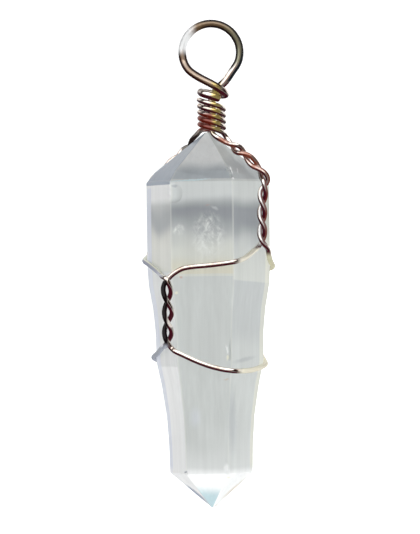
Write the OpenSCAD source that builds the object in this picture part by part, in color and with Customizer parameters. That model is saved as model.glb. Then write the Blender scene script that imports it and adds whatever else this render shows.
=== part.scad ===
// Crystal point pendant: a six-sided pointed stone in a cage of two twisted wires, hung from a wire loop.
// It lies on its back: right is +X, the bail points along +Y, and the front faces up, +Z.
// Wires and stone are worked out standing on the stone's foot, with the height along Y, and laid down at the end.

/* [Stone] */
// Length of the stone from its foot to its tip
stone_length = 46.9; // [42:0.1:56]
// Width of the stone from corner to corner where it is widest
stone_width = 15.5; // [13:0.1:19]
// How far the foot's point stands to the right of the stone's axis
foot_shift = 0.2; // [-0.5:0.05:0.5]

/* [Cage wire] */
// Thickness of the thin wire that is twisted into the cage
wire_d = 0.64; // [0.5:0.02:0.8]
// Clear space between the cage and the stone
stone_gap = 0.06; // [0.05:0.01:0.2]
// Clear space between wires that lie side by side
wire_gap = 0.06; // [0.05:0.01:0.1]
// How far the twists at the front and the back stand open
twist_open = 0.24; // [0:0.02:0.4]
// How far the right-hand pair bows off the stone's shoulder
right_bow = 0.77; // [0.3:0.01:1]
// How far the left-hand pair bows off the stone's shoulder
left_bow = 0.55; // [0.3:0.01:1]

/* [Neck] */
// Number of thin turns that show at the front of the neck
coil_bands = 5; // [3:2:9]
// Height of the lowest turn over the stone's tip
neck_rise = 0.5; // [0.4:0.05:1]
// Space between two thin turns of the neck
coil_gap = 0.12; // [0.05:0.01:0.3]
// How far the neck stands to the right of the stone's axis
neck_shift = 0.65; // [0:0.05:0.8]
// How steeply the turns of the neck slope down to the right, in degrees
neck_slant = 8; // [0:1:10]

/* [Bail loop] */
// Thickness of the thick wire of the loop
loop_wire_d = 1; // [0.8:0.05:1.2]
// Outer width of the loop
loop_d = 8.2; // [7:0.1:12]
// Space between the loop's stem and the turn that its tail takes round it
tail_slack = 0.35; // [0.3:0.05:0.5]
// Space between the stone's tip and the end of the loop's stem
stem_gap = 0.15; // [0.1:0.05:0.3]

/* [Resting pose] */
// Roll of the lying pendant that brings its right side up
lying_roll = 0.7; // [-3:0.01:3]
// Pitch of the lying pendant that brings its bail up
lying_pitch = 4.82; // [0:0.01:8]

/* [Hidden] */

// Turns are in degrees round the stone's axis, from the front towards the right.
// The stone's opposite corners face each other.
front_corners = [83, 24, -37];
corner_turns = [for (half = [0, 180]) for (turn = front_corners) turn - half];

// Columns: height as a share of stone_length, half width as a share of half the stone_width
stone_sections = [
    [0, 0.02],
    [0.0955, 0.675],
    [0.1705, 0.686],
    [0.246, 0.715],
    [0.3265, 0.79],
    [0.3895, 0.87],
    [0.467, 0.878],
    [0.5325, 0.915],
    [0.5975, 0.984],
    [0.648, 1],
    [0.8685, 1],
    [0.896, 0.86],
    [1, 0.04]
];
section_height = 0;
section_width = 1;

// A wire's station. Columns: turn, height as a share of stone_length, lift off the stone as a share of its bow,
// how open the twist is, where 0 is a single wire, 1 a closed pair and 2 as open as twist_open says,
// and the strand's own turn round the twist, where 0 is outermost and 90 to the right.
// The last two columns, where the sides differ, are how much less turn and height the left-hand wire has.
turn_at = 0;
height_at = 1;
lift_at = 2;
open_at = 3;
spin_at = 4;
back_at = 5;
drop_at = 6;

// The pair of strands that runs from the neck down to where they part
pair_rows = [
    [64, 0.965, 0.45, 1.2, -70, 22, 0],
    [66, 0.938, 1, 1.3, 130, 18, 0],
    [66.5, 0.906, 0.6, 1.1, 264, 12, 0],
    [65, 0.88, 0.65, 1.1, 378, 5, 0],
    [63.7, 0.864, 0.5, 1, 455, 1, 0],
    [63, 0.8455, 0.18, 1, 529, 0, 0],
    [62.5, 0.7935, 0, 1, 720, 0, 0],
    [62, 0.74, 0, 1, 914, 0, 0],
    [61.4, 0.7055, 0, 1.05, 1040, 0, 0],
    [61.4, 0.697, 0, 1.15, 1105, 0, 0]
];

// The strand that crosses the front to the front twist
crossing_rows = [
    [54.5, 0.6865, 0, 0, 0],
    [46, 0.6755, 0, 0, 0],
    [38, 0.6655, 0, 0, 0],
    [30.5, 0.6595, 0, 0, 0],
    [24, 0.656, 0, 0, 0],
    [17, 0.6525, 0, 0, 0],
    [-3, 0.6465, 0, 0, 0],
    [-17, 0.6435, 0, 0, 0],
    [-25.5, 0.6395, 0, 0, 0],
    [-32, 0.6295, 0, 0, 0]
];

// The twist in which the wires of both sides change places
twist_rows = [
    [-36.8, 0.6133, 0, 1.6, 202],
    [-37, 0.6042, 0, 2, 236],
    [-38.7, 0.5515, 0, 2, 418],
    [-42.6, 0.4989, 0, 1.9, 602],
    [-46, 0.4462, 0, 1.8, 785],
    [-46.6, 0.4371, 0, 1.5, 817]
];

// The strand that sinks across the front below the twist and goes round to the other twist
lower_rows = [
    [-41, 0.4265, 0.05, 0, 0, 0, 0],
    [-37.5, 0.4225, 0.05, 0, 0, 0, 0],
    [-34, 0.4175, 0, 0, 0, 0, 0],
    [-28, 0.4095, 0, 0, 0, 0, 0],
    [-11.6, 0.391, 0, 0, 0, 0, 0],
    [6, 0.377, 0, 0, 0, 0, 0],
    [18, 0.3705, 0, 0, 0, 0, 0],
    [24, 0.3685, 0, 0, 0, 0, 0],
    [37, 0.367, 0, 0, 0, 0, -0.003],
    [60, 0.3685, 0, 0, 0, 0, -0.013],
    [74, 0.374, 0, 0, 0, 0, -0.02],
    [79, 0.3775, 0, 0, 0, 0, -0.0212],
    [83, 0.3815, 0.04, 0, 0, 0, -0.021],
    [88, 0.389, 0.02, 0, 0, 0, -0.019],
    [95, 0.402, 0, 0, 0, 0, -0.012],
    [102, 0.415, 0, 0, 0, 0, -0.0065],
    [112, 0.4285, 0, 0, 0, 0, -0.005]
];

// The strand that climbs from the other twist round the side, back to the pair
side_rows = [
    [139.5, 0.6185, 1.05, 0, 0, 0, 0],
    [131.5, 0.621, 0.5, 0, 0, 0, -0.0015],
    [121, 0.6255, 0.1, 0, 0, 0, -0.0035],
    [110, 0.6295, 0, 0, 0, 0, -0.0085],
    [100, 0.6335, 0, 0, 0, 0, -0.013],
    [91, 0.637, 0, 0, 0, 0, -0.0175],
    [83, 0.643, 0, 0, 0, 0, -0.019],
    [79.5, 0.6515, 0, 0, 0, 0, -0.0155],
    [77.3, 0.663, 0, 0, 0, 0, -0.008],
    [75.5, 0.6745, 0.1, 0, 0, 0, 0.001],
    [72.3, 0.685, 0.35, 0, 0, 0, 0.003]
];

// The strand that comes down from the core of the neck, and the one that climbs to the turns round it.
// Columns: turn, drop below the stone's tip and reach beyond the neck's own, both in thicknesses of the thin wire,
// the share of the room that is left for the neck's lean, and how much less turn the left-hand wire has.
exit_turn = 0;
exit_drop = 1;
exit_reach = 2;
exit_room = 3;
exit_back = 4;
leaving_rows = [
    [10, 0.23, 0.16, 0, 0],
    [30, 0.86, 0.92, 1, 4],
    [50, 1.56, 1.85, 1, 14]
];
joining_rows = [
    [80, 1.33, 1.02, 1, 18],
    [77, 0.31, 0.2, 0.5, 10]
];

// Where the turns round the neck begin, and how far past the front the two wires' ends run on
coil_start = 60;
right_end_turn = 100;
left_end_turn = 20;

// The loop's legs. Columns: across, up and forward of the place where they cross, as shares of loop_r
leg_across = 0;
leg_up = 1;
leg_forward = 2;
left_leg_rows = [
    [-0.245, 0.133, 0.32],
    [-0.526, 0.298, 0.22],
    [-0.806, 0.526, 0.1]
];
right_leg_rows = [
    [0.7, 0.404, -0.02],
    [0.474, 0.088, -0.03],
    [0.3, -0.07, -0.045],
    [0.15, -0.235, -0.05],
    [0.05, -0.375, -0.03],
    [0.01, -0.52, 0]
];

// The turn that the loop's tail takes round the stem, from its cut end to the front of the crossing.
// Columns: turn, height over the tail's front pass in thicknesses of the loop's wire, reach as a share of tail_reach
tail_turn = 0;
tail_rise = 1;
tail_share = 2;
tail_rows = [
    [402, -0.16, 1],
    [360, 0, 1],
    [315, 0.17, 1],
    [270, 0.36, 1],
    [225, 0.38, 1],
    [180, 0.38, 1.02],
    [135, 0.4, 1.18],
    [90, 0.5, 1.3],
    [65, 0.72, 1.28],
    [40, 1.05, 1.16],
    [0, 1.52, 0.97]
];
// How far the loop's centre stands over the crossing of its legs, as a share of loop_r
centre_rise = 1.11;

// The share of the stone's length above which the strands lean over to the neck
lean_from = 0.95;
// How steeply the strands of a closed pair lean across it, in degrees
strand_lean = 24;

wire_r = wire_d / 2;
loop_wire_r = loop_wire_d / 2;
loop_r = loop_d / 2 - loop_wire_r;
closed_spread = (wire_r + wire_gap / 2) / cos(strand_lean);
core_reach = loop_wire_r + wire_gap + wire_r;
coil_reach = core_reach + wire_d + 1.5 * wire_gap;
tail_reach = loop_wire_d + tail_slack;
band_pitch = wire_d + coil_gap;
neck_foot = stone_length + neck_rise;
top_band = neck_foot + (coil_bands - 1) * band_pitch;
tail_front = top_band + loop_wire_r + wire_r + 3 * wire_gap;
crossing_height = tail_front + tail_rows[len(tail_rows) - 1][tail_rise] * loop_wire_d;
loop_centre = crossing_height + centre_rise * loop_r;
right_wire_sweep = coil_start + (coil_bands - 1) * 180 + right_end_turn;
left_wire_sweep = coil_start + (coil_bands - 1) * 180 + left_end_turn;
wire_sides = 8;
loop_sides = 12;
ring_step = 0.9 * wire_d;
edge_sharpness = 120;

function unit(v) = v / norm(v);
function total(values) = [for (v = values) 1] * values;
function reversed(list) = [for (i = [len(list) - 1:-1:0]) list[i]];

// A point at a turn, height and reach from the stone's axis
function around(turn, height, reach) = [reach * sin(turn), height, reach * cos(turn)];

// The stone's reach from its axis at a turn and a height, with something laid on it that is off thick
function stone_reach(turn, height, off) =
    let (
        half_width = lookup(height / stone_length, stone_sections) * stone_width / 2,
        shares = [for (i = [0:5])
            let (
                next = i == 5 ? corner_turns[0] - 360 : corner_turns[i + 1],
                middle = (corner_turns[i] + next) / 2,
                apothem = half_width * cos((corner_turns[i] - next) / 2)
            )
            pow(max(0, cos(turn - middle)) / (apothem + off), edge_sharpness)]
    )
    pow(total(shares), -1 / edge_sharpness);

// How far a station's strand stands from the middle of its twist
function spread(row) = min(row[open_at], 1) * closed_spread + max(row[open_at] - 1, 0) * twist_open / 2;

// The middle of the wire or twist at a station
function middle_point(row, extra_turn = 0, bow = 0) =
    let (
        height = row[height_at] * stone_length,
        off = stone_gap + wire_r + spread(row) + row[lift_at] * bow
    )
    around(row[turn_at] + extra_turn, height, stone_reach(row[turn_at] + extra_turn, height, off));

// A single strand's bow is as much as it needs to rise over another strand
function middle_points(rows) = [for (row = rows) middle_point(row, 0, 2 * closed_spread)];

// The stations of one side's wire
function of_side(rows, left) =
    [for (row = rows) left ? [
        row[turn_at] - row[back_at],
        row[height_at] - row[drop_at],
        row[lift_at],
        row[open_at],
        row[spin_at]
    ] : row];

// A smooth curve through points of any dimension, with one sample for each step of length
function smooth(points, step) =
    let (last = len(points) - 1)
    [for (i = [0:last - 1])
        let (
            a = points[i],
            b = points[i + 1],
            before = points[max(i - 1, 0)],
            after = points[min(i + 2, last)],
            length = norm(b - a),
            leaving = i == 0 ? b - a : curve_slope(before, a, b) * length,
            arriving = i == last - 1 ? b - a : curve_slope(a, b, after) * length,
            count = max(1, round(length / step))
        )
        for (k = [0:count - (i == last - 1 ? 0 : 1)])
            hermite(a, b, leaving, arriving, k / count)];

function curve_slope(a, b, c) =
    let (first = norm(b - a), second = norm(c - b))
    ((b - a) / first * second + (c - b) / second * first) / (first + second);

function hermite(a, b, leaving, arriving, t) =
    a * (2 * t * t * t - 3 * t * t + 1) + b * (3 * t * t - 2 * t * t * t)
    + leaving * (t * t * t - 2 * t * t + t) + arriving * (t * t * t - t * t);

// The stations of a twist, filled in between so that each strand has eight points for each turn
function fine_rows(rows) =
    [for (i = [0:len(rows) - 2])
        let (
            last = len(rows) - 1,
            before = rows[max(i - 1, 0)],
            after = rows[min(i + 2, last)],
            count = ceil((rows[i + 1][spin_at] - rows[i][spin_at]) / 45)
        )
        for (k = [0:count - (i == last - 1 ? 0 : 1)])
            hermite(rows[i], rows[i + 1], (rows[i + 1] - before) / 2, (after - rows[i]) / 2, k / count)];

// One strand of a twist, which circles the twist's middle line
function strand(rows, extra_spin, extra_turn = 0, bow = 0) =
    let (
        fine = fine_rows(rows),
        last = len(fine) - 1,
        line = [for (row = fine) middle_point(row, extra_turn, bow)]
    )
    [for (i = [0:last])
        let (
            row = fine[i],
            along = unit(line[min(i + 1, last)] - line[max(i - 1, 0)]),
            side = middle_point(row, extra_turn + 3, bow) - middle_point(row, extra_turn - 3, bow),
            rightward = unit(side - (side * along) * along),
            outward = cross(along, rightward),
            spin = row[spin_at] + extra_spin
        )
        line[i] + spread(row) * (cos(spin) * outward + sin(spin) * rightward)];

// The neck stands aside from the stone's axis, and the strands lean over to it
function leaned(p) =
    let (start = lean_from * stone_length, share = (p[1] - start) / (neck_foot - start))
    p + [neck_shift * max(0, min(1, share)), 0, 0];

// A point of a turn round the neck, moved up or down by the turn's slant
function slanted(p, side) = p - [0, side * p[0] * tan(neck_slant), 0];

function exit_points(rows, reach, room, left) =
    [for (row = rows) around(
        row[exit_turn] - (left ? row[exit_back] : 0),
        stone_length - row[exit_drop] * wire_d,
        reach + row[exit_reach] * wire_d + row[exit_room] * room
    )];

// One wire of the cage: from its end in the core of the neck down to the stone, round it, up again and round the neck.
// The left-hand wire runs as the right-hand one does, half a turn further round the stone.
function cage_path(left, sweep, bow) =
    let (
        // The side that the neck leans away from needs more room
        room = left ? neck_shift / 2 : 0,
        pair = of_side(pair_rows, left),
        route = concat(
            [for (height = [top_band:-1:stone_length + wire_r]) around(0, height, core_reach)],
            exit_points(leaving_rows, core_reach, room, left),
            strand(pair, 0, 0, bow),
            reversed(middle_points(of_side(side_rows, left))),
            strand(twist_rows, 180, 180),
            reversed(middle_points(of_side(lower_rows, left))),
            reversed(strand(twist_rows, 0)),
            reversed(middle_points(crossing_rows)),
            reversed(strand(pair, 180, 0, bow)),
            exit_points(joining_rows, coil_reach, room, left),
            [for (wound = [0:30:sweep]) slanted(
                around(coil_start - wound, neck_foot + (wound - coil_start) / 180 * band_pitch, coil_reach),
                left ? -1 : 1
            )]
        ),
        turned = [for (p = route) left ? [-p[0], p[1], -p[2]] : p]
    )
    smooth([for (p = turned) leaned(p)], ring_step);

right_path = cage_path(false, right_wire_sweep, right_bow);
left_path = cage_path(true, left_wire_sweep, left_bow);

// The loop's wire, from its cut tail round the stem, round the loop and down the stem
function tail_place(row) =
    slanted(around(row[tail_turn], tail_front + row[tail_rise] * loop_wire_d, row[tail_share] * tail_reach), 1);
function leg_place(row) =
    [row[leg_across] * loop_r, crossing_height + row[leg_up] * loop_r, row[leg_forward] * loop_r];
loop_path = smooth(
    [for (p = concat(
        [for (row = tail_rows) tail_place(row)],
        [for (row = left_leg_rows) leg_place(row)],
        [for (angle = [200:-20:-20]) [loop_r * cos(angle), loop_centre + loop_r * sin(angle), 0]],
        [for (row = right_leg_rows) leg_place(row)],
        [for (share = [0.8, 0.4, 0]) [0, stone_length + stem_gap + share * (top_band - stone_length), 0]]
    )) leaned(p)],
    0.5 * loop_wire_d
);

// The stone's corners, one ring for each section
function stone_ring(section) =
    let (
        half_width = section[section_width] * stone_width / 2,
        height = section[section_height] * stone_length,
        shift = height < stone_sections[1][section_height] * stone_length ? foot_shift : 0
    )
    [for (turn = corner_turns) around(turn, height, half_width) + [shift, 0, 0]];
stone_rings = [for (section = stone_sections) stone_ring(section)];

// Laying down: the height goes along +Y, with the roll and pitch of the resting pose
function tipped(p) =
    let (
        x = p[0] * cos(lying_roll) - p[2] * sin(lying_roll),
        z = p[2] * cos(lying_roll) + p[0] * sin(lying_roll)
    )
    [x, p[1] * cos(lying_pitch) - z * sin(lying_pitch), z * cos(lying_pitch) + p[1] * sin(lying_pitch)];

function tipped_all(points) = [for (p = points) tipped(p)];
stone_points = tipped_all([for (ring = stone_rings) for (p = ring) p]);
wire_points = tipped_all(concat(right_path, left_path));
loop_points = tipped_all(loop_path);

function column(points, axis) = [for (p = points) p[axis]];
function low(axis) = min(
    min(column(stone_points, axis)),
    min(column(wire_points, axis)) - wire_r,
    min(column(loop_points, axis)) - loop_wire_r
);
function high(axis) = max(
    max(column(stone_points, axis)),
    max(column(wire_points, axis)) + wire_r,
    max(column(loop_points, axis)) + loop_wire_r
);
laid_origin = [(low(0) + high(0)) / 2, (low(1) + high(1)) / 2, low(2)];
function laid(points) = [for (p = tipped_all(points)) p - laid_origin];

// A ring's sideways direction, carried from ring to ring without twisting
function ring_sides(points, alongs) =
    [for (
        i = 0, side = unit(cross(alongs[0], [0.3, 0.2, 1]));
        i < len(points);
        i = i + 1,
        side = i < len(points) ? unit(side - (side * alongs[i]) * alongs[i]) : side
    ) side];

// A round wire along a line of points
module wire(points, radius, sides) {
    last = len(points) - 1;
    alongs = [for (i = [0:last]) unit(points[min(i + 1, last)] - points[max(i - 1, 0)])];
    ring_side = ring_sides(points, alongs);
    rings = [for (i = [0:last]) for (k = [0:sides - 1])
        let (turn = 360 * k / sides)
        points[i] + radius * (cos(turn) * ring_side[i] + sin(turn) * cross(alongs[i], ring_side[i]))];
    walls = [for (i = [0:last - 1]) for (k = [0:sides - 1])
        let (next = (k + 1) % sides)
        [i * sides + k, (i + 1) * sides + k, (i + 1) * sides + next, i * sides + next]];
    first_cap = [for (k = [0:sides - 1]) k];
    last_cap = [for (k = [sides - 1:-1:0]) last * sides + k];
    polyhedron(rings, concat(walls, [first_cap, last_cap]));
}

module crystal() {
    rows = len(stone_sections);
    walls = [for (i = [0:rows - 2]) for (k = [0:5])
        let (next = (k + 1) % 6)
        [i * 6 + k, i * 6 + next, (i + 1) * 6 + next, (i + 1) * 6 + k]];
    foot = [for (k = [5:-1:0]) k];
    tip = [for (k = [0:5]) (rows - 1) * 6 + k];
    color("gainsboro")
        polyhedron(laid([for (ring = stone_rings) for (p = ring) p]), concat(walls, [foot, tip]));
}

module bail_loop() {
    color("silver") wire(laid(loop_path), loop_wire_r, loop_sides);
}

module cage_wire_right() {
    color("silver") wire(laid(right_path), wire_r, wire_sides);
}

module cage_wire_left() {
    color("silver") wire(laid(left_path), wire_r, wire_sides);
}

crystal();
bail_loop();
cage_wire_right();
cage_wire_left();
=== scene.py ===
import math
import bpy
from mathutils import Matrix, Vector


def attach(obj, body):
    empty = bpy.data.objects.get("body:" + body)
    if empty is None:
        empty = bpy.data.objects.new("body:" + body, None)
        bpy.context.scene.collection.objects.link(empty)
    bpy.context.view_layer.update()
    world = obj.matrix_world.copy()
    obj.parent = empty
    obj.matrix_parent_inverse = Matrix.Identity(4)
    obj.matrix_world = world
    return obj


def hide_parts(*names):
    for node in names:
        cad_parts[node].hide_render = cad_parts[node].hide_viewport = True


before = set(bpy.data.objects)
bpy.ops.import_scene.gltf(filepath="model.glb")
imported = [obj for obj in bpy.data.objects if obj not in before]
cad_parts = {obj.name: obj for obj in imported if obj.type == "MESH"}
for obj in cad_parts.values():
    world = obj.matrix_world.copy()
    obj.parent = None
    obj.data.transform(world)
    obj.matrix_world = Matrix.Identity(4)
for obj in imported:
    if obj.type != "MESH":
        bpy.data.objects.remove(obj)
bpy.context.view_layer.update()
mm = 0.001

# How the pendant lies: where the stone's foot is, and the turns that its back takes on the floor
lying = {"footMm": (0.006, -30.411, 5.2142), "rollDegrees": 0.7, "pitchDegrees": 4.82}


def lyingDirection(right, up, front):
    roll, pitch = math.radians(lying["rollDegrees"]), math.radians(lying["pitchDegrees"])
    across = right * math.cos(roll) - front * math.sin(roll)
    height = front * math.cos(roll) + right * math.sin(roll)
    along = up * math.cos(pitch) - height * math.sin(pitch)
    return Vector((across, along, height * math.cos(pitch) + up * math.sin(pitch)))


stoneRight = lyingDirection(1, 0, 0)
stoneUp = lyingDirection(0, 1, 0)
stoneFront = lyingDirection(0, 0, 1)
stoneFoot = Vector(lying["footMm"]) * mm
stoneTurn = Matrix((stoneRight, stoneUp, stoneFront)).transposed()  # turns the stone's directions to the scene's


def linearColour(hexText):
    parts = [int(hexText[i:i + 2], 16) / 255 for i in (1, 3, 5)]
    return tuple(p / 12.92 if p <= 0.04045 else ((p + 0.055) / 1.055) ** 2.4 for p in parts) + (1,)


def addNode(tree, kind, settings=None, links=None):
    # settings are the node's own properties or its sockets' values, links are what feeds its sockets
    node = tree.nodes.new(kind)
    for name, value in (settings or {}).items():
        if isinstance(name, str) and hasattr(node, name):
            setattr(node, name, value)
        else:
            node.inputs[name].default_value = value
    for name, socket in (links or {}).items():
        tree.links.new(socket, node.inputs[name])
    return node


def newTree(holder):
    holder.use_nodes = True
    holder.node_tree.nodes.clear()
    return holder.node_tree


# The camera looks straight at the stone's front face, as the photograph's did
photoFrame = {
    "distanceMm": 500, "pixelsPerMm": 8, "heightPixels": 534, "leanDegrees": 0.77, "aimAcrossMm": 0.17,
    "aimHeightMm": 30.125, "sensorMm": 36, "nearMm": 50, "farMm": 5000,
}
aim = stoneFoot + (stoneUp * photoFrame["aimHeightMm"] + stoneRight * photoFrame["aimAcrossMm"]) * mm
imageUp = (stoneUp + stoneRight * math.tan(math.radians(photoFrame["leanDegrees"]))).normalized()
imageRight = imageUp.cross(stoneFront).normalized()
imageHeightMm = photoFrame["heightPixels"] / photoFrame["pixelsPerMm"]
bpy.ops.object.camera_add(location=aim + stoneFront * photoFrame["distanceMm"] * mm)
camera = bpy.context.object
camera.name = "photoCamera"
camera.rotation_euler = Matrix((imageRight, imageUp, stoneFront)).transposed().to_euler()
camera.data.sensor_width = photoFrame["sensorMm"]
camera.data.lens = photoFrame["sensorMm"] * photoFrame["distanceMm"] / imageHeightMm
camera.data.clip_start = photoFrame["nearMm"] * mm
camera.data.clip_end = photoFrame["farMm"] * mm
bpy.context.scene.camera = camera
bpy.context.scene.view_settings.view_transform = "Standard"  # keeps the white floor burnt out to plain white
print("camera set")

# A white acrylic sheet lit a little from below, as under small jewellery: it burns out and takes the shadows' edge off
floorLook = {"sizeMm": 1600, "colour": "#FFFFFF", "glow": 0.55, "roughness": 0.8, "specular": 0.1}
bpy.ops.mesh.primitive_plane_add(size=floorLook["sizeMm"] * mm, location=(0, 0, 0))
floor = bpy.context.object
floor.name = "acrylicFloor"
floorMaterial = bpy.data.materials.new("white acrylic, matt")
tree = newTree(floorMaterial)
floorSurface = addNode(tree, "ShaderNodeBsdfPrincipled", {
    "Base Color": linearColour(floorLook["colour"]), "Roughness": floorLook["roughness"],
    "Specular IOR Level": floorLook["specular"],
    "Emission Color": linearColour(floorLook["colour"]), "Emission Strength": floorLook["glow"],
})
addNode(tree, "ShaderNodeOutputMaterial", links={"Surface": floorSurface.outputs["BSDF"]})
floor.data.materials.append(floorMaterial)
floor.visible_glossy = False  # so that the wires keep the dark rims that they show against the burnt-out white

# The room that the polished wire and the stone's steep facets mirror: dark and warm all round, tan straight overhead,
# a wide white sheet beyond the bail on the left, and pale grey paper below, dark only on the near side
roomLook = {
    "strength": 2.0, "paperColour": "#C4C4C4", "paperReach": (-0.35, -0.05), "paperTop": (-0.28, -0.10),
    # how far up the direction points, from -1 to 1, and the colour there
    "steps": [(-1.0, "#1C0B09"), (0.30, "#200B09"), (0.82, "#150807"), (0.94, "#4A342C"), (1.0, "#7A6052")],
    "sheetColour": "#FFFFFF", "sheetDirection": (-0.42, 0.82, 0.40), "sheetCosine": (0.40, 0.56),
    "sheetFoot": (0.16, 0.30),
}
room = bpy.data.worlds.new("studio room")
tree = newTree(room)
bpy.context.scene.world = room
direction = addNode(tree, "ShaderNodeTexCoord")
directionParts = addNode(tree, "ShaderNodeSeparateXYZ", links={0: direction.outputs["Generated"]})
roomHeight = addNode(tree, "ShaderNodeMapRange", {"From Min": -1.0}, {"Value": directionParts.outputs["Z"]})
roomRamp = addNode(tree, "ShaderNodeValToRGB", links={0: roomHeight.outputs["Result"]})
while len(roomRamp.color_ramp.elements) < len(roomLook["steps"]):
    roomRamp.color_ramp.elements.new(0.5)
for element, (height, colour) in zip(roomRamp.color_ramp.elements, roomLook["steps"]):
    element.position, element.color = (height + 1) / 2, linearColour(colour)
sheetCosine = addNode(tree, "ShaderNodeVectorMath", {
    "operation": "DOT_PRODUCT", 1: Vector(roomLook["sheetDirection"]).normalized(),
}, {0: direction.outputs["Generated"]})
palePieces = [
    # colour, what its width is measured by and between which values it begins, between which heights it begins, and
    # how much of it there is below and above them
    (roomLook["sheetColour"], sheetCosine.outputs["Value"], roomLook["sheetCosine"], roomLook["sheetFoot"], (0.0, 1.0)),
    (roomLook["paperColour"], directionParts.outputs["Y"], roomLook["paperReach"], roomLook["paperTop"], (1.0, 0.0)),
]
roomColour = roomRamp.outputs["Color"]
for colour, width, widthLimits, heightLimits, heightEnds in palePieces:
    shares = []
    for measure, limits, ends in (
        (width, widthLimits, (0.0, 1.0)), (directionParts.outputs["Z"], heightLimits, heightEnds),
    ):
        shares.append(addNode(tree, "ShaderNodeMapRange", {
            "From Min": limits[0], "From Max": limits[1], "To Min": ends[0], "To Max": ends[1],
            "interpolation_type": "SMOOTHSTEP",
        }, {"Value": measure}).outputs["Result"])
    share = addNode(tree, "ShaderNodeMath", {"operation": "MULTIPLY"}, {0: shares[0], 1: shares[1]})
    roomColour = addNode(tree, "ShaderNodeMix", {
        "data_type": "RGBA", 7: linearColour(colour),
    }, {0: share.outputs[0], 6: roomColour}).outputs[2]
roomBackground = addNode(tree, "ShaderNodeBackground", {"Strength": roomLook["strength"]}, {"Color": roomColour})
addNode(tree, "ShaderNodeOutputWorld", links={"Surface": roomBackground.outputs["Background"]})
room.cycles_visibility.diffuse = False  # the room is only mirrored, and the softboxes below give the light

# Softboxes that light the stone and the floor and stand where the wire doesn't mirror them
softboxes = [
    {"name": "softboxOverhead", "placeMm": (20, 30, 620), "sizeMm": 500, "watts": 2.2, "colour": "#FDFFFF"},
    {"name": "softboxRight", "placeMm": (360, 60, 330), "sizeMm": 300, "watts": 0.3, "colour": "#FDFFFF"},
    {"name": "softboxFoot", "placeMm": (40, -420, 240), "sizeMm": 300, "watts": 1.5, "colour": "#FDFFFF"},
]
for box in softboxes:
    place = Vector(box["placeMm"]) * mm
    bpy.ops.object.light_add(type="AREA", location=place, rotation=place.to_track_quat("Z", "Y").to_euler())
    light = bpy.context.object
    light.name = box["name"]
    light.data.shape = "SQUARE"
    light.data.size = box["sizeMm"] * mm
    light.data.energy = box["watts"]
    light.data.color = linearColour(box["colour"])[:3]
    light.visible_glossy = False
print("floor, room and softboxes set")

mergeMm = 0.002  # corners of a piece that are closer than this are one corner


def copyOfNode(nodeName, pieceName):
    # a copy of a CAD node with its loose triangles merged, while the node itself stays as it is
    bpy.ops.object.select_all(action="DESELECT")
    piece = bpy.data.objects.new(pieceName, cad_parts[nodeName].data.copy())
    bpy.context.scene.collection.objects.link(piece)
    piece.data.name = pieceName
    piece.data.materials.clear()
    piece.select_set(True)
    bpy.context.view_layer.objects.active = piece
    bpy.ops.object.mode_set(mode="EDIT")
    bpy.ops.mesh.select_all(action="SELECT")
    bpy.ops.mesh.remove_doubles(threshold=mergeMm * mm)
    bpy.ops.mesh.normals_make_consistent(inside=False)
    bpy.ops.object.mode_set(mode="OBJECT")
    return piece


def applyModifier(piece, kind, settings):
    modifier = piece.modifiers.new(kind.lower(), kind)
    for name, value in settings.items():
        setattr(modifier, name, value)
    bpy.ops.object.modifier_apply(modifier=modifier.name)


def handOver(piece, nodeName):
    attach(piece, "root")
    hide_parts(nodeName)
    print(piece.name, "made,", len(piece.data.polygons), "faces")


def makeWire(nodeName, pieceName, shape):
    # the swept facets are joined to quads, the cut ends are dressed with a small edge, and the wire is rounded
    piece = copyOfNode(nodeName, pieceName)
    quadAngle = math.radians(shape["quadDegrees"])
    bpy.ops.object.mode_set(mode="EDIT")
    bpy.ops.mesh.select_all(action="SELECT")
    bpy.ops.mesh.tris_convert_to_quads(face_threshold=quadAngle, shape_threshold=quadAngle)
    bpy.ops.mesh.select_all(action="DESELECT")
    bpy.ops.mesh.select_mode(type="EDGE")
    bpy.ops.mesh.edges_select_sharp(sharpness=math.radians(shape["endDegrees"]))
    bpy.ops.mesh.loop_to_region()
    bpy.ops.mesh.select_mode(type="FACE")
    bpy.ops.mesh.dissolve_faces()
    bpy.ops.mesh.inset(thickness=shape["endInsetMm"] * mm, depth=shape["endDomeMm"] * mm)
    bpy.ops.mesh.inset(thickness=shape["endInsetMm"] * mm)
    bpy.ops.mesh.select_all(action="SELECT")
    bpy.ops.transform.shrink_fatten(value=shape["fattenMm"] * mm)
    bpy.ops.object.mode_set(mode="OBJECT")
    applyModifier(piece, "SUBSURF", {"levels": shape["rounding"], "render_levels": shape["rounding"]})
    bpy.ops.object.shade_smooth()
    handOver(piece, nodeName)
    return piece


cageWireShape = {
    "slot": "cage_wire", "quadDegrees": 70, "endDegrees": 75, "endInsetMm": 0.05, "endDomeMm": 0.02,
    "fattenMm": 0.032, "rounding": 2,
}
loopWireShape = {
    "slot": "loop_wire", "quadDegrees": 70, "endDegrees": 75, "endInsetMm": 0.08, "endDomeMm": 0.03,
    "fattenMm": 0.022, "rounding": 2,
}
cageRight = makeWire("cage_wire_right", "cageWireRight", cageWireShape)
cageLeft = makeWire("cage_wire_left", "cageWireLeft", cageWireShape)
bailLoop = makeWire("bail_loop", "bailLoop", loopWireShape)


def stonePlace(tree):
    # Object coordinates turned to the stone's own, in millimetres: X across, Y up from its foot, Z to the front
    turn = stoneTurn.transposed()
    objectPlace = addNode(tree, "ShaderNodeTexCoord")
    return addNode(tree, "ShaderNodeMapping", {
        "Location": -(turn @ stoneFoot) / mm, "Rotation": turn.to_euler("XYZ"), "Scale": (1 / mm, 1 / mm, 1 / mm),
    }, {"Vector": objectPlace.outputs["Object"]}).outputs["Vector"]


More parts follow.
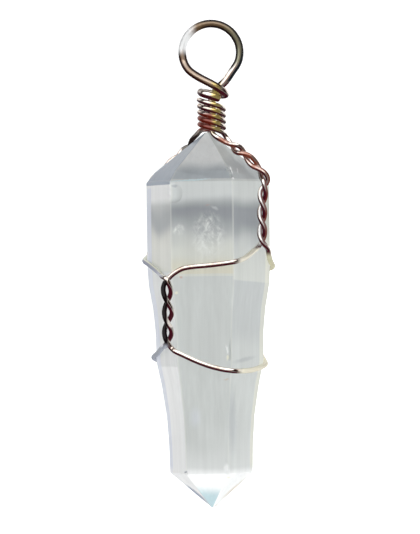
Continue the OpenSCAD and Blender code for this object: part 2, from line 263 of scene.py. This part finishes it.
def zoneShare(tree, coordinate, limits, wave=None):
    # 1 between the two limits and 0 outside. Each limit is a place in mm and how far it fades, and a wave moves it in
    # proportion to that
    shares = []
    for (place, fade), (start, end) in zip(limits, ((0.0, 1.0), (1.0, 0.0))):
        moved = coordinate
        if wave:
            moved = addNode(tree, "ShaderNodeMath", {
                "operation": "MULTIPLY_ADD", 1: fade,
            }, {0: wave, 2: coordinate}).outputs[0]
        shares.append(addNode(tree, "ShaderNodeMapRange", {
            "From Min": place - fade / 2, "From Max": place + fade / 2, "To Min": start, "To Max": end,
            "interpolation_type": "SMOOTHSTEP",
        }, {"Value": moved}).outputs["Result"])
    return addNode(tree, "ShaderNodeMath", {"operation": "MULTIPLY"}, {0: shares[0], 1: shares[1]}).outputs[0]


# Silver plated copper craft wire, drawn through a die and polished: a bright mirror with a brown breath of tarnish and
# bare copper where the plating is worn, and painted reflections, highlights and shade for what it mirrors, as the dark
# maroon on its near sides and the yellow on the right of the neck
plating = {
    "silver": "#F0E9E2", "tarnish": "#A98468", "tarnishShare": 0.7, "tarnishLimits": (0.42, 0.72),
    "patchMm": 1.6, "patchDetail": 3.0, "patchRoughness": 0.6, "patchLimits": (0.4, 0.6),
    "roughness": 0.12, "roughnessTimes": (0.6, 1.8), "roughnessLimits": (0.3, 0.75), "specular": 0.15,
    "scratchMm": 0.12, "scratchDetail": 2.0, "scratchDepth": 0.05, "scratchHighMm": 0.02,
    "wireLayers": [
        # brown tarnish, bare copper, and painted reflections, highlights and shade, the later ones over the earlier:
        # how much it covers, how metallic it still is, the side of the wire that it is on as a direction across, up and
        # to the front with the cosines where it begins and is full, and its reach along and across the stone in mm,
        # each limit with how far it fades
        # painted reflection: yellow on the right of the neck
        {"name": "painted yellow reflection on the neck", "colour": "#E8CC50", "share": 0.75, "metal": 0.6,
         "height": ((46.8, 0.8), (53.8, 0.8)), "across": ((0.6, 0.8), (1.8, 0.6))},
        # painted shade: dark maroon on every side of the wire that faces down and left, in place of the dark room it
        # mirrors
        {"name": "painted dark reflection below", "colour": "#3E0A18", "share": 1.0, "metal": 0.05,
         "side": ((-0.4, -0.9, 0.0), (0.0, 0.3))},
        {"name": "copper at the neck", "colour": "#7A2412", "share": 0.9, "metal": 0.4,
         "height": ((47.2, 0.5), (49.3, 0.5)), "across": ((-3.0, 0.4), (0.8, 0.8))},
        # painted highlight on the right pair's sides that face up, right and to the front
        {"name": "white of the right pair", "colour": "#FFFFFF", "share": 1.0, "metal": 0.1,
         "side": ((0.35, 0.4, 0.85), (0.72, 0.9)),
         "height": ((32.8, 0.8), (40.6, 0.6)), "across": ((5.8, 0.2), (7.4, 0.3))},
        # painted dark reflection on the right pair's sides that face right
        {"name": "brown of the right pair", "colour": "#6A2416", "share": 0.9, "metal": 0.15,
         "side": ((1.0, 0.1, 0.1), (0.1, 0.4)),
         "height": ((32.8, 0.8), (43.0, 1.0)), "across": ((6.5, 0.3), (9.0, 0.2))},
        {"name": "brown on the pyramid", "colour": "#9A4A30", "share": 0.7, "metal": 0.6,
         "height": ((42.0, 0.8), (47.3, 0.6)), "across": ((1.5, 0.5), (8.4, 0.3)), "patchy": True},
        # painted shade: dark where the wire runs behind the neck
        {"name": "grey behind the neck", "colour": "#2A2420", "share": 0.8, "metal": 0.4,
         "height": ((44.6, 0.5), (47.2, 0.5)), "across": ((-3.2, 0.2), (-0.6, 0.4))},
        # painted shade: the left pair's outer strands made black, for the dark surroundings they mirror
        {"name": "black of the left pair", "colour": "#12080A", "share": 1.0, "metal": 0.05,
         "height": ((20.6, 0.5), (28.6, 0.4)), "across": ((-6.4, 0.2), (-5.12, 0.25))},
        # painted highlight on the left pair's over-strand, on its sides that face up, right and to the front
        {"name": "white of the left pair", "colour": "#FFF4EC", "share": 0.9, "metal": 0.1,
         "side": ((0.5, 0.4, 0.77), (0.5, 0.8)),
         "height": ((22.7, 0.4), (24.9, 0.4)), "across": ((-5.2, 0.3), (-4.3, 0.4))},
        # painted reflection: pale grey blue on the lower hook
        {"name": "grey of the lower hook", "colour": "#AEB3BD", "share": 0.9, "metal": 0.1,
         "height": ((17.5, 0.6), (20.6, 0.6)), "across": ((-9.0, 0.2), (-5.2, 0.5))},
        # painted reflections: blue grey on the upper strand, with a painted cream highlight on its upper side
        {"name": "blue grey of the upper strand", "colour": "#98A0B2", "share": 0.8, "metal": 0.15,
         "height": ((29.0, 0.5), (31.6, 0.3)), "across": ((-9.2, 0.2), (-5.6, 0.6))},
        {"name": "cream of the upper strand", "colour": "#F6F6E0", "share": 0.8, "metal": 0.1,
         "side": ((0.5, 0.85, 0.0), (0.2, 0.5)),
         "height": ((29.0, 0.5), (31.6, 0.3)), "across": ((-9.2, 0.2), (-5.6, 0.6))},
        # painted reflections: cream on the ends of the two crossings and on the right hook
        {"name": "cream end of the front crossing", "colour": "#F4EEDC", "share": 0.9, "metal": 0.15,
         "height": ((29.5, 0.3), (32.4, 0.4)), "across": ((3.7, 1.0), (6.8, 0.5))},
        {"name": "cream end of the lower crossing", "colour": "#F8F2DC", "share": 0.9, "metal": 0.15,
         "height": ((16.0, 0.3), (18.8, 0.4)), "across": ((3.7, 1.0), (8.4, 0.3))},
        {"name": "cream of the right hook", "colour": "#CFCBAF", "share": 0.9, "metal": 0.1,
         "height": ((29.5, 0.3), (31.6, 0.8)), "across": ((7.0, 0.2), (9.4, 0.2))},
        # painted reflections on the loop: brown at the top, olive on the right, tan on the left leg
        {"name": "brown of the loop", "colour": "#7C6444", "share": 0.85, "metal": 0.5,
         "height": ((59.2, 2.0), (63.0, 0.3)), "across": ((-2.2, 1.6), (5.4, 0.3))},
        {"name": "olive of the loop's right", "colour": "#8C8C70", "share": 0.85, "metal": 0.5,
         "height": ((55.4, 1.0), (59.8, 2.0)), "across": ((2.2, 0.6), (5.4, 0.3))},
        {"name": "tan of the loop's leg", "colour": "#B09478", "share": 0.7, "metal": 0.4,
         "height": ((52.2, 0.8), (57.0, 0.8)), "across": ((-4.6, 0.3), (0.8, 0.8))},
        # painted shade: dark rims where the loop turns away from the front, and dark on the leg's lower side
        {"name": "dark rims of the loop's leg", "colour": "#280604", "share": 1.0, "metal": 0.1,
         "side": ((0.0, 0.0, 1.0), (0.96, 0.8)),
         "height": ((52.2, 0.8), (57.4, 1.2)), "across": ((-5.0, 0.3), (2.0, 0.6))},
        {"name": "dark rims of the loop", "colour": "#1A0E10", "share": 1.0, "metal": 0.1,
         "side": ((0.0, 0.0, 1.0), (0.97, 0.8)),
         "height": ((54.8, 0.8), (63.0, 0.3)), "across": ((-0.8, 2.0), (5.4, 0.3))},
        {"name": "dark below the loop's leg", "colour": "#1E2226", "share": 1.0, "metal": 0.1,
         "side": ((0.7, -0.7, 0.0), (0.1, 0.4)),
         "height": ((53.2, 0.5), (57.0, 1.0)), "across": ((1.8, 0.5), (5.4, 0.2))},
        # painted highlight on the loop's left
        {"name": "white of the loop's left", "colour": "#FFFFFF", "share": 1.0, "metal": 0.1,
         "height": ((57.0, 1.2), (61.2, 1.0)), "across": ((-5.2, 0.3), (-1.6, 1.4))},
    ],
}


def sideShare(tree, normal, direction, limits):
    # 0 to 1 as the wire's surface turns to the direction, between the two cosines
    turned = stoneTurn @ Vector(direction).normalized()
    facing = addNode(tree, "ShaderNodeVectorMath", {"operation": "DOT_PRODUCT", 1: turned}, {0: normal})
    return addNode(tree, "ShaderNodeMapRange", {
        "From Min": limits[0], "From Max": limits[1],
    }, {"Value": facing.outputs["Value"]}).outputs["Result"]


def makePlating():
    material = bpy.data.materials.new("silver plated copper wire, drawn and polished")
    tree = newTree(material)
    place = stonePlace(tree)
    parts = addNode(tree, "ShaderNodeSeparateXYZ", links={0: place})
    surfacePlace = addNode(tree, "ShaderNodeTexCoord")
    patches = addNode(tree, "ShaderNodeTexNoise", {
        "Scale": 1 / plating["patchMm"], "Detail": plating["patchDetail"], "Roughness": plating["patchRoughness"],
    }, {"Vector": place})
    patchShare = addNode(tree, "ShaderNodeMapRange", {
        "From Min": plating["patchLimits"][0], "From Max": plating["patchLimits"][1],
    }, {"Value": patches.outputs["Fac"]})
    tarnishShare = addNode(tree, "ShaderNodeMapRange", {
        "From Min": plating["tarnishLimits"][0], "From Max": plating["tarnishLimits"][1],
        "To Max": plating["tarnishShare"],
    }, {"Value": patches.outputs["Fac"]})
    colour = addNode(tree, "ShaderNodeMix", {
        "data_type": "RGBA", 6: linearColour(plating["silver"]), 7: linearColour(plating["tarnish"]),
    }, {0: tarnishShare.outputs["Result"]}).outputs[2]
    # How metallic the wire is starts at 1, and each layer, bare copper, tarnish or painted light, takes it over by its
    # share
    metal = addNode(tree, "ShaderNodeValue").outputs[0]
    metal.default_value = 1.0
    for wireLayer in plating["wireLayers"]:
        shares = []
        if "side" in wireLayer:
            shares.append(sideShare(tree, surfacePlace.outputs["Normal"], *wireLayer["side"]))
        if "height" in wireLayer:
            shares.append(zoneShare(tree, parts.outputs["Y"], wireLayer["height"]))
            shares.append(zoneShare(tree, parts.outputs["X"], wireLayer["across"]))
        if "patchy" in wireLayer:
            shares.append(patchShare.outputs["Result"])
        cover = addNode(tree, "ShaderNodeMath", {"operation": "MULTIPLY", 1: wireLayer["share"]}, {0: shares[0]}).outputs[0]
        for share in shares[1:]:
            cover = addNode(tree, "ShaderNodeMath", {"operation": "MULTIPLY"}, {0: cover, 1: share}).outputs[0]
        colour = addNode(tree, "ShaderNodeMix", {
            "label": wireLayer["name"], "data_type": "RGBA", 7: linearColour(wireLayer["colour"]),
        }, {0: cover, 6: colour}).outputs[2]
        metal = addNode(tree, "ShaderNodeMix", {3: wireLayer["metal"]}, {0: cover, 2: metal}).outputs[0]
    roughness = addNode(tree, "ShaderNodeMapRange", {
        "From Min": plating["roughnessLimits"][0], "From Max": plating["roughnessLimits"][1],
        "To Min": plating["roughness"] * plating["roughnessTimes"][0],
        "To Max": plating["roughness"] * plating["roughnessTimes"][1],
    }, {"Value": patches.outputs["Fac"]})
    scratches = addNode(tree, "ShaderNodeTexNoise", {
        "Scale": 1 / plating["scratchMm"], "Detail": plating["scratchDetail"],
    }, {"Vector": place})
    bump = addNode(tree, "ShaderNodeBump", {
        "Strength": plating["scratchDepth"], "Distance": plating["scratchHighMm"] * mm,
    }, {"Height": scratches.outputs["Fac"]})
    surface = addNode(tree, "ShaderNodeBsdfPrincipled", {"Specular IOR Level": plating["specular"]}, {
        "Base Color": colour, "Metallic": metal, "Roughness": roughness.outputs["Result"],
        "Normal": bump.outputs["Normal"],
    })
    addNode(tree, "ShaderNodeOutputMaterial", links={"Surface": surface.outputs["BSDF"]})
    return material


platingMaterial = makePlating()
for piece in (cageRight, cageLeft, bailLoop):
    piece.data.materials.append(platingMaterial)
    # light that spreads inside the milky stone washes the thin wires' shadows out, so they throw none and dim nothing
    piece.visible_diffuse = False
    piece.visible_shadow = False
print("wire material made")

# The stone's ground facets meet in edges with a fine wear, and small chips have broken out of them
stoneShape = {
    "edgeMm": 0.13, "edgeSteps": 3, "edgeDegrees": 22, "flatWeight": 100, "chipRounding": 3,
    "chips": [
        # turn round the stone's length, height and reach in mm, the turn that the chip faces, and half its size in mm
        {"turn": 24, "heightMm": 42.3, "reachMm": 6.42, "facing": 24, "halfMm": (0.45, 0.55, 0.36)},
        {"turn": 24, "heightMm": 41.5, "reachMm": 7.3, "facing": 24, "halfMm": (0.36, 0.4, 0.36)},
        {"turn": -33, "heightMm": 39.3, "reachMm": 7.6, "facing": -8, "halfMm": (1.15, 1.35, 0.36)},
        {"turn": 20, "heightMm": 19.5, "reachMm": 6.65, "facing": 10, "halfMm": (0.3, 1.1, 0.3)},
        {"turn": 22, "heightMm": 4.95, "reachMm": 5.45, "facing": 20, "halfMm": (0.5, 0.9, 0.4)},
        {"turn": -37, "heightMm": 4.6, "reachMm": 5.4, "facing": -37, "halfMm": (0.36, 0.4, 0.36)},
        {"turn": 83, "heightMm": 4.5, "reachMm": 5.4, "facing": 83, "halfMm": (0.36, 0.4, 0.36)},
    ],
}
edgeAngle = math.radians(stoneShape["edgeDegrees"])
stone = copyOfNode("crystal", "crystalPoint")
applyModifier(stone, "BEVEL", {
    "width": stoneShape["edgeMm"] * mm, "segments": stoneShape["edgeSteps"], "limit_method": "ANGLE",
    "angle_limit": edgeAngle,
})
chipCutters = []
for chip in stoneShape["chips"]:
    turn = math.radians(chip["turn"])
    place = Vector((chip["reachMm"] * math.sin(turn), chip["heightMm"], chip["reachMm"] * math.cos(turn)))
    facing = stoneTurn @ Matrix.Rotation(math.radians(chip["facing"]), 3, "Y")
    bpy.ops.mesh.primitive_ico_sphere_add(
        subdivisions=stoneShape["chipRounding"], radius=1, location=stoneFoot + stoneTurn @ place * mm,
        rotation=facing.to_euler(), scale=[half * mm for half in chip["halfMm"]],
    )
    chipCutters.append(bpy.context.object)
for cutter in chipCutters:
    cutter.select_set(True)
bpy.ops.object.join()
joinedCutters = bpy.context.object
bpy.context.view_layer.objects.active = stone
applyModifier(stone, "BOOLEAN", {"operation": "DIFFERENCE", "solver": "EXACT", "object": joinedCutters})
bpy.data.objects.remove(joinedCutters)
bpy.ops.object.select_all(action="DESELECT")
stone.select_set(True)
bpy.context.view_layer.objects.active = stone
bpy.ops.object.shade_smooth_by_angle(angle=edgeAngle)
applyModifier(stone, "WEIGHTED_NORMAL", {"weight": stoneShape["flatWeight"], "keep_sharp": True})
handOver(stone, "crystal")

# Satin spar, a fibrous gypsum, ground to six facets and polished with wax: milky and half clear, with silky upright
# fibres, cloudy veils and small pale chips along the edges, and with its facets' light and shade, the grey of its silky
# bands and a few highlights and shadows painted into its colour
spar = {
    "roughness": 0.24, "refraction": 1.52, "specular": 0.3, "milkShare": 0.2, "milkMm": 0.8,
    "waveMm": 5.0, "waveDepth": 0.5,
    "fibres": [
        # how wide and how long the streaks are in mm, and how much they darken and lighten the stone
        {"wideMm": 1.4, "longMm": 60, "shade": (0.95, 1.05)},
        {"wideMm": 0.4, "longMm": 14, "shade": (0.97, 1.03)},
    ],
    "fibreDetail": 4.0, "fibreRoughness": 0.65, "fibreLimits": (0.3, 0.7), "fibreDepth": 0.12, "fibreHighMm": 0.03,
    "colours": {
        "pale": "#D0D3D1", "dusk": "#5E6472", "steel": "#919EB1", "sand": "#DCD6C0", "grey": "#7C818E",
        "slate": "#9A9FA8", "cream": "#F0EEDC", "white": "#FFFFFF", "frost": "#DDF0F5", "ice": "#BCD2D8",
        "mist": "#D9DCDC", "lavender": "#E8ECFA", "rust": "#C98A70", "tan": "#C9B49A", "edge": "#F2F2EA",
        "veil": "#ECEEEA",
    },
    # facets as turns round the stone's length in degrees, 0 to the front, and how far they fade into each other
    "facets": {
        "left": (-97, -37), "front": (-37, 23.6), "right": (23.6, 83.6), "leftRim": (-110, -86),
        "rightRim": (76, 100), "all": (-200, 200),
    },
    "facetFade": 2.0, "frontHalf": ((-100, 4.0), (90, 4.0)),
    # painted light and shade: paler pyramid front, darker pyramid sides, grey silky bands, lighter lower facets, and a
    # painted glow at the rims and through the thin foot
    "paintedLightZones": [
        # colour, share, facet, the lower and the upper limit along the stone in mm, each with how far it fades, and
        # how far both limits climb for each mm to the right
        ("white", 0.75, "front", (42.6, 1.8), (48, 0.1), 0),
        ("mist", 0.6, "front", (38.2, 1.2), (41.0, 0.1), 0),
        ("white", 0.9, "left", (38.2, 1.2), (41.0, 0.1), 0),
        ("steel", 0.7, "left", (40.4, 0.1), (48, 0.1), 0),
        ("steel", 0.55, "left", (40.4, 0.1), (43.4, 2.8), 0),
        ("steel", 0.4, "front", (41.05, 0.1), (42.7, 1.8), 0),
        ("grey", 0.33, "right", (41.0, 0.1), (43.4, 1.4), 0),
        ("dusk", 0.62, "front", (34.6, 4.4), (38.0, 2.0), 0),
        ("grey", 0.42, "left", (34.4, 3.0), (37.4, 2.4), 0),
        ("dusk", 0.6, "right", (33.6, 5.0), (38.0, 1.8), 0),
        ("cream", 0.3, "front", (29.0, 0.1), (33.4, 3.0), 0),
        ("sand", 0.6, "front", (29.3, 0.15), (31.0, 2.0), 0),
        ("cream", 0.15, "right", (28.9, 0.25), (32.0, 3.0), -0.12),
        ("slate", 0.2, "right", (21.5, 3.0), (28.9, 0.3), -0.12),
        ("cream", 0.6, "left", (29.6, 0.3), (34.2, 2.6), 0),
        ("white", 0.35, "left", (29.6, 0.3), (34.2, 2.6), 0),
        ("white", 0.6, "left", (17.9, 0.5), (29.6, 0.3), 0),
        ("white", 0.95, "left", (0, 0.1), (17.9, 0.5), 0),
        ("white", 0.6, "left", (0, 0.1), (10.0, 12.0), 0),
        ("white", 0.35, "front", (0, 0.1), (8.0, 8.0), 0),
        ("white", 0.25, "right", (0, 0.1), (8.0, 8.0), 0),
        ("lavender", 0.8, "leftRim", (0, 0.1), (40.2, 0.6), 0),
        ("cream", 0.45, "rightRim", (5, 2.0), (40.2, 0.6), 0),
        ("white", 0.76, "all", (-2, 0.1), (4.9, 1.0), 0),
        ("ice", 1.0, "front", (-2, 0.1), (2.3, 2.0), 0),
    ],
    # the facets come every so many degrees, and a painted highlight makes their edges paler over a few degrees
    "facetTurn": 60, "edgeHighlightShare": 0.3, "edgeHighlightWide": 1.2,
    "veilShare": 0.9, "veilMm": (0.5, 1.0), "veilTurns": (38, -30), "veilDetail": 5.0, "veilRoughness": 0.6,
    "veilLimits": (0.46, 0.72), "veilCore": 0.4,
    "veils": [
        # middle across and up the stone in mm, half size in mm
        ((0.0, 33.9), (2.6, 3.6)),
        ((-3.7, 34.8), (1.0, 0.9)),
    ],
    # the marks' outlines are ragged by so much and in steps of so much, and the marks go right through the stone
    "raggedMm": 0.3, "raggedStepMm": 0.4, "raggedDetail": 3.0, "markDeepMm": 1000000,
    "marks": [
        # colour, share, middle across and up the stone in mm, half size in mm, turn in degrees, and the part of it
        # that is full
        # painted highlight: a pale line along the girdle
        ("frost", 0.9, (-2.1, 40.88), (3.4, 0.16), 3, 0.2),
        ("white", 0.9, (2.95, 42.1), (0.12, 0.75), 20, 0.3),
        ("white", 0.8, (3.15, 41.05), (0.22, 0.2), 0, 0.3),
        ("white", 0.4, (3.75, 42.0), (0.12, 0.5), 10, 0.3),
        ("grey", 0.35, (-4.1, 40.2), (0.6, 0.25), 0, 0.3),
        ("white", 0.25, (0.85, 37.4), (0.7, 0.28), -25, 0.1),
        ("rust", 0.2, (0.0, 37.8), (0.5, 0.12), 15, 0.3),
        ("cream", 0.8, (-4.05, 27.0), (0.3, 0.25), 0, 0.4),
        ("rust", 0.45, (-3.4, 28.9), (0.3, 0.18), 0, 0.2),
        ("white", 0.5, (2.15, 19.9), (0.16, 0.8), 14, 0.3),
        ("cream", 0.8, (2.2, 18.9), (0.2, 0.5), -6, 0.3),
        ("tan", 0.5, (2.0, 16.2), (0.5, 0.14), 4, 0.3),
        # painted shadow of the lower crossing on the stone
        ("grey", 0.25, (4.3, 18.6), (1.9, 0.4), 12, 0.2),
        ("lavender", 0.25, (-1.9, 11.5), (1.0, 1.8), 0, 0.1),
        ("slate", 0.3, (2.7, 11.0), (0.8, 5.5), 0, 0.2),
        ("grey", 0.7, (-3.15, 4.75), (0.22, 0.25), -40, 0.3),
        ("white", 0.6, (1.9, 5.2), (0.5, 0.8), 0, 0.2),
        ("cream", 0.7, (2.1, 4.0), (0.35, 0.2), 0, 0.2),
        ("tan", 0.6, (0.9, 0.3), (0.7, 0.3), 0, 0.2),
        # painted shade along the foot's lower left edge
        ("steel", 0.85, (-1.8, 1.68), (2.5, 0.36), -41, 0.4),
        ("tan", 0.45, (2.75, 2.42), (2.6, 0.3), 40, 0.2),
    ],
}


def markShare(tree, place, middle, half, core, degrees=0, share=1.0):
    # share inside an ellipse on the stone's front, and 0 outside it
    onMark = addNode(tree, "ShaderNodeMapping", {
        "vector_type": "TEXTURE", "Location": (*middle, 0), "Rotation": (0, 0, math.radians(degrees)),
        "Scale": (*half, spar["markDeepMm"]),
    }, {"Vector": place})
    reach = addNode(tree, "ShaderNodeVectorMath", {"operation": "LENGTH"}, {0: onMark.outputs["Vector"]})
    return addNode(tree, "ShaderNodeMapRange", {
        "From Min": 1.0, "From Max": core, "To Max": share, "interpolation_type": "SMOOTHSTEP",
    }, {"Value": reach.outputs["Value"]}).outputs["Result"]


def makeSpar():
    material = bpy.data.materials.new("satin spar gypsum, ground and polished")
    tree = newTree(material)
    colours = {name: linearColour(hexText) for name, hexText in spar["colours"].items()}
    place = stonePlace(tree)
    parts = addNode(tree, "ShaderNodeSeparateXYZ", links={0: place})
    # The turn around the stone's length picks the facet, 0 to the front
    turnAngle = addNode(tree, "ShaderNodeMath", {
        "operation": "ARCTAN2",
    }, {0: parts.outputs["X"], 1: parts.outputs["Z"]}).outputs[0]
    turnDegrees = addNode(tree, "ShaderNodeMath", {"operation": "DEGREES"}, {0: turnAngle}).outputs[0]
    facetShares = {}
    for name, (low, high) in spar["facets"].items():
        facetShares[name] = zoneShare(tree, turnDegrees, ((low, spar["facetFade"]), (high, spar["facetFade"])))
    frontHalf = zoneShare(tree, turnDegrees, spar["frontHalf"])
    # Slow waves keep the bands from being ruled lines
    waves = addNode(tree, "ShaderNodeTexNoise", {"Scale": 1 / spar["waveMm"], "Detail": 1.0}, {"Vector": place})
    wave = addNode(tree, "ShaderNodeMapRange", {
        "To Min": -spar["waveDepth"], "To Max": spar["waveDepth"],
    }, {"Value": waves.outputs["Fac"]})
    tone = addNode(tree, "ShaderNodeRGB").outputs[0]
    tone.default_value = colours["pale"]
    # Painted light and shade: each zone lightens or darkens a facet over a stretch of the stone's length
    for colour, share, facet, low, high, climb in spar["paintedLightZones"]:
        along = parts.outputs["Y"]
        if climb:
            along = addNode(tree, "ShaderNodeMath", {
                "operation": "MULTIPLY_ADD", 1: -climb,
            }, {0: parts.outputs["X"], 2: along}).outputs[0]
        limits = zoneShare(tree, along, (low, high), wave.outputs["Result"])
        zone = addNode(tree, "ShaderNodeMath", {"operation": "MULTIPLY"}, {0: limits, 1: facetShares[facet]})
        zone = addNode(tree, "ShaderNodeMath", {"operation": "MULTIPLY", 1: share}, {0: zone.outputs[0]})
        tone = addNode(tree, "ShaderNodeMix", {
            "data_type": "RGBA", 7: colours[colour],
        }, {0: zone.outputs[0], 6: tone}).outputs[2]
    # Cloudy veils: two sets of slanting streaks that show inside the two ellipses of the list
    wide, long = spar["veilMm"]
    clouds = []
    for degrees in spar["veilTurns"]:
        slanting = addNode(tree, "ShaderNodeMapping", {
            "vector_type": "TEXTURE", "Rotation": (0, 0, math.radians(degrees)), "Scale": (wide, long, wide),
        }, {"Vector": place})
        cloud = addNode(tree, "ShaderNodeTexNoise", {
            "Scale": 1.0, "Detail": spar["veilDetail"], "Roughness": spar["veilRoughness"],
        }, {"Vector": slanting.outputs["Vector"]})
        clouds.append(addNode(tree, "ShaderNodeMapRange", {
            "From Min": spar["veilLimits"][0], "From Max": spar["veilLimits"][1], "To Max": spar["veilShare"],
        }, {"Value": cloud.outputs["Fac"]}).outputs["Result"])
    clouded = addNode(tree, "ShaderNodeMath", {"operation": "MAXIMUM"}, {0: clouds[0], 1: clouds[1]})
    places = [markShare(tree, place, middle, half, spar["veilCore"]) for middle, half in spar["veils"]]
    veiled = addNode(tree, "ShaderNodeMath", {"operation": "MAXIMUM"}, {0: places[0], 1: places[1]})
    veil = addNode(tree, "ShaderNodeMath", {"operation": "MULTIPLY"}, {0: veiled.outputs[0], 1: clouded.outputs[0]})
    veil = addNode(tree, "ShaderNodeMath", {"operation": "MULTIPLY"}, {0: veil.outputs[0], 1: frontHalf})
    tone = addNode(tree, "ShaderNodeMix", {
        "data_type": "RGBA", 7: colours["veil"],
    }, {0: veil.outputs[0], 6: tone}).outputs[2]
    # A painted highlight makes the edges between the facets paler, the first of them at the front's right
    fromEdge = addNode(tree, "ShaderNodeMath", {
        "operation": "SUBTRACT", 1: spar["facets"]["front"][1],
    }, {0: turnDegrees})
    fromEdge = addNode(tree, "ShaderNodeMath", {
        "operation": "PINGPONG", 1: spar["facetTurn"] / 2,
    }, {0: fromEdge.outputs[0]})
    edge = addNode(tree, "ShaderNodeMapRange", {
        "From Max": spar["edgeHighlightWide"], "To Min": spar["edgeHighlightShare"], "To Max": 0.0,
    }, {"Value": fromEdge.outputs[0]})
    tone = addNode(tree, "ShaderNodeMix", {
        "data_type": "RGBA", 7: colours["edge"],
    }, {0: edge.outputs["Result"], 6: tone}).outputs[2]
    # Chips and specks, a painted highlight along the girdle, a painted shadow of the lower crossing and painted shade
    # along the foot's left edge, with ragged outlines
    ragged = addNode(tree, "ShaderNodeTexNoise", {
        "Scale": 1 / spar["raggedStepMm"], "Detail": spar["raggedDetail"],
    }, {"Vector": place})
    ragged = addNode(tree, "ShaderNodeVectorMath", {
        "operation": "SUBTRACT", 1: (0.5, 0.5, 0.5),  # the noise's middle
    }, {0: ragged.outputs["Color"]})
    ragged = addNode(tree, "ShaderNodeVectorMath", {
        "operation": "MULTIPLY_ADD", 1: (spar["raggedMm"], spar["raggedMm"], 0.0),
    }, {0: ragged.outputs[0], 2: place}).outputs[0]
    for colour, share, middle, half, degrees, core in spar["marks"]:
        onFront = markShare(tree, ragged, middle, half, core, degrees, share)
        mark = addNode(tree, "ShaderNodeMath", {"operation": "MULTIPLY"}, {0: onFront, 1: frontHalf})
        tone = addNode(tree, "ShaderNodeMix", {
            "data_type": "RGBA", 7: colours[colour],
        }, {0: mark.outputs[0], 6: tone}).outputs[2]
    # Upright fibres are noise drawn out along the stone, and the fine ones can be felt
    for fibre in spar["fibres"]:
        drawnOut = addNode(tree, "ShaderNodeMapping", {
            "Scale": (1 / fibre["wideMm"], 1 / fibre["longMm"], 1 / fibre["wideMm"]),
        }, {"Vector": place})
        fibres = addNode(tree, "ShaderNodeTexNoise", {
            "Scale": 1.0, "Detail": spar["fibreDetail"], "Roughness": spar["fibreRoughness"],
        }, {"Vector": drawnOut.outputs["Vector"]})
        shade = addNode(tree, "ShaderNodeMapRange", {
            "From Min": spar["fibreLimits"][0], "From Max": spar["fibreLimits"][1],
            "To Min": fibre["shade"][0], "To Max": fibre["shade"][1],
        }, {"Value": fibres.outputs["Fac"]})
        tone = addNode(tree, "ShaderNodeVectorMath", {
            "operation": "SCALE",
        }, {0: tone, "Scale": shade.outputs["Result"]}).outputs[0]
    bump = addNode(tree, "ShaderNodeBump", {
        "Strength": spar["fibreDepth"], "Distance": spar["fibreHighMm"] * mm,
    }, {"Height": fibres.outputs["Fac"]})
    surface = addNode(tree, "ShaderNodeBsdfPrincipled", {
        "Roughness": spar["roughness"], "IOR": spar["refraction"], "Specular IOR Level": spar["specular"],
        "Subsurface Weight": spar["milkShare"], "Subsurface Radius": (1.0, 1.0, 1.0),
        "Subsurface Scale": spar["milkMm"] * mm,
    }, {"Base Color": tone, "Normal": bump.outputs["Normal"]})
    addNode(tree, "ShaderNodeOutputMaterial", links={"Surface": surface.outputs["BSDF"]})
    return material


stone.data.materials.append(makeSpar())
print("stone material made")
